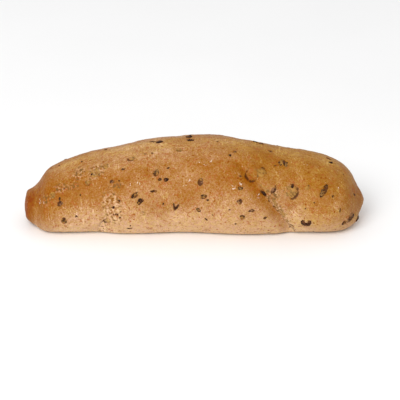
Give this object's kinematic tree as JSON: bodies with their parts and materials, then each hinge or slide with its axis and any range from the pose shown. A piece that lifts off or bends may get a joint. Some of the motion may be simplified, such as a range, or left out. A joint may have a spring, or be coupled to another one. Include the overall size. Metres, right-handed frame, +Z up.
{
  "type": "bread roll",
  "caption": "Elongated baked bread roll with an arched crust, a stubby dough tip at one end, a small nose at the other and a flat underside.",
  "frame": {"origin": "on the tray plane under the roll, at the middle of its length and width", "axes": "+X runs along the roll from the stubby tip to the small nose, +Y is across it towards the side the roll bends away from, +Z is up through the crust"},
  "size_m": [0.2, 0.0676, 0.0492],
  "materials": {
    "crust": "satin"
  },
  "bodies": {
    "root": {"bread_roll": "crust"}
  },
  "joints": []
}
